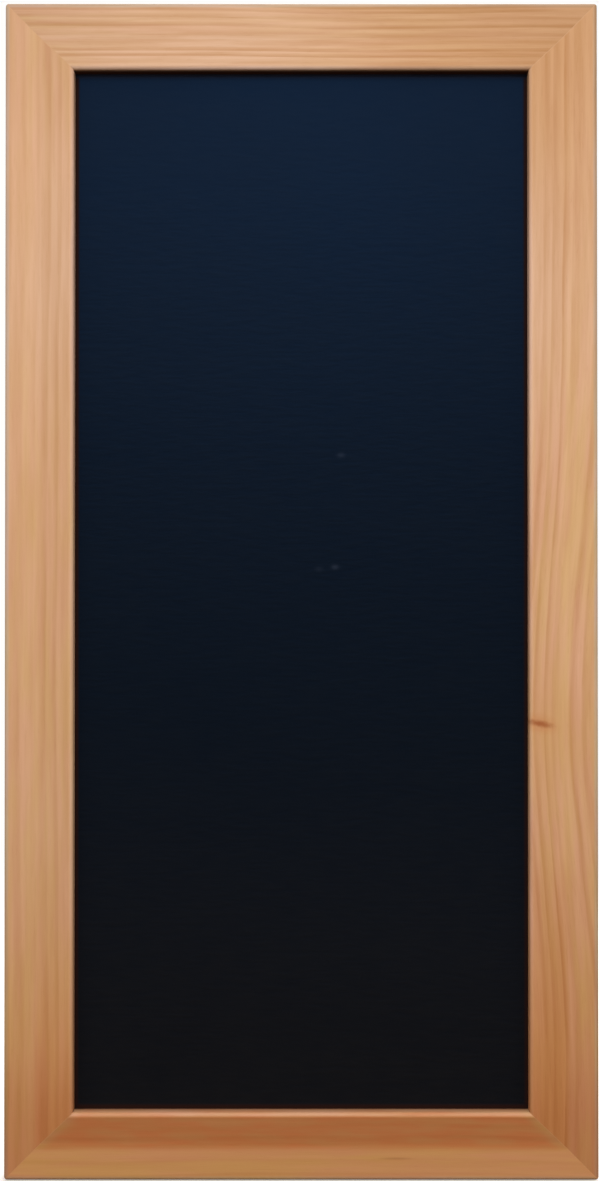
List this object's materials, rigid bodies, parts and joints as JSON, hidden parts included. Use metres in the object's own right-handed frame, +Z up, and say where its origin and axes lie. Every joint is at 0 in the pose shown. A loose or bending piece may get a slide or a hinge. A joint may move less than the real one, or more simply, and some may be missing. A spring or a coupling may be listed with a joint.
{
  "type": "wall chalkboard",
  "caption": "Portrait wall chalkboard: dark lacquered writing panel in a mitred, moulded pine frame, with swinging D-ring hangers and rubber bumpers on the back.",
  "frame": {"origin": "on the wall plane, midway between the two nails or hooks that the D-rings hang on", "axes": "+Z up along the board's height, +X to the right of someone who faces the board, +Y from the board to the wall, so the writing face looks towards -Y"},
  "size_m": [0.3, 0.0237, 0.595],
  "materials": {
    "clear_pine": "straight-grained pine under a thin satin clear coat",
    "chalk_lacquer": "hardboard with a dark, slightly glossy chalk lacquer on its face",
    "plated_steel": "bright nickel-plated steel",
    "nail_steel": "plain grey steel strip",
    "bumper_rubber": "matt dark rubber"
  },
  "bodies": {
    "board": {"top_rail": "clear_pine", "bottom_rail": "clear_pine", "left_stile": "clear_pine", "right_stile": "clear_pine", "writing_panel": "chalk_lacquer", "corner_nail_bottom_left_1": "nail_steel", "corner_nail_bottom_left_2": "nail_steel", "corner_nail_bottom_right_1": "nail_steel", "corner_nail_bottom_right_2": "nail_steel", "corner_nail_top_right_1": "nail_steel", "corner_nail_top_right_2": "nail_steel", "corner_nail_top_left_1": "nail_steel", "corner_nail_top_left_2": "nail_steel", "panel_point_bottom_1": "nail_steel", "panel_point_bottom_2": "nail_steel", "panel_point_right_1": "nail_steel", "panel_point_right_2": "nail_steel", "panel_point_right_3": "nail_steel", "panel_point_top_1": "nail_steel", "panel_point_top_2": "nail_steel", "panel_point_left_1": "nail_steel", "panel_point_left_2": "nail_steel", "panel_point_left_3": "nail_steel", "hanger_strap_left": "plated_steel", "hanger_strap_right": "plated_steel", "hanger_screw_left": "plated_steel", "hanger_screw_right": "plated_steel", "bumper_left": "bumper_rubber", "bumper_right": "bumper_rubber"},
    "left_ring": {"hanger_ring_left": "plated_steel"},
    "right_ring": {"hanger_ring_right": "plated_steel"}
  },
  "joints": [
    {"name": "left_ring_swing", "type": "hinge", "parent": "board", "child": "left_ring", "pos_m": [-0.13625, -0.0023, -0.0105], "axis": [-1, 0, 0], "range_deg": [0, 180]},
    {"name": "right_ring_swing", "type": "hinge", "parent": "board", "child": "right_ring", "pos_m": [0.13625, -0.0023, -0.0105], "axis": [-1, 0, 0], "range_deg": [0, 180]}
  ]
}
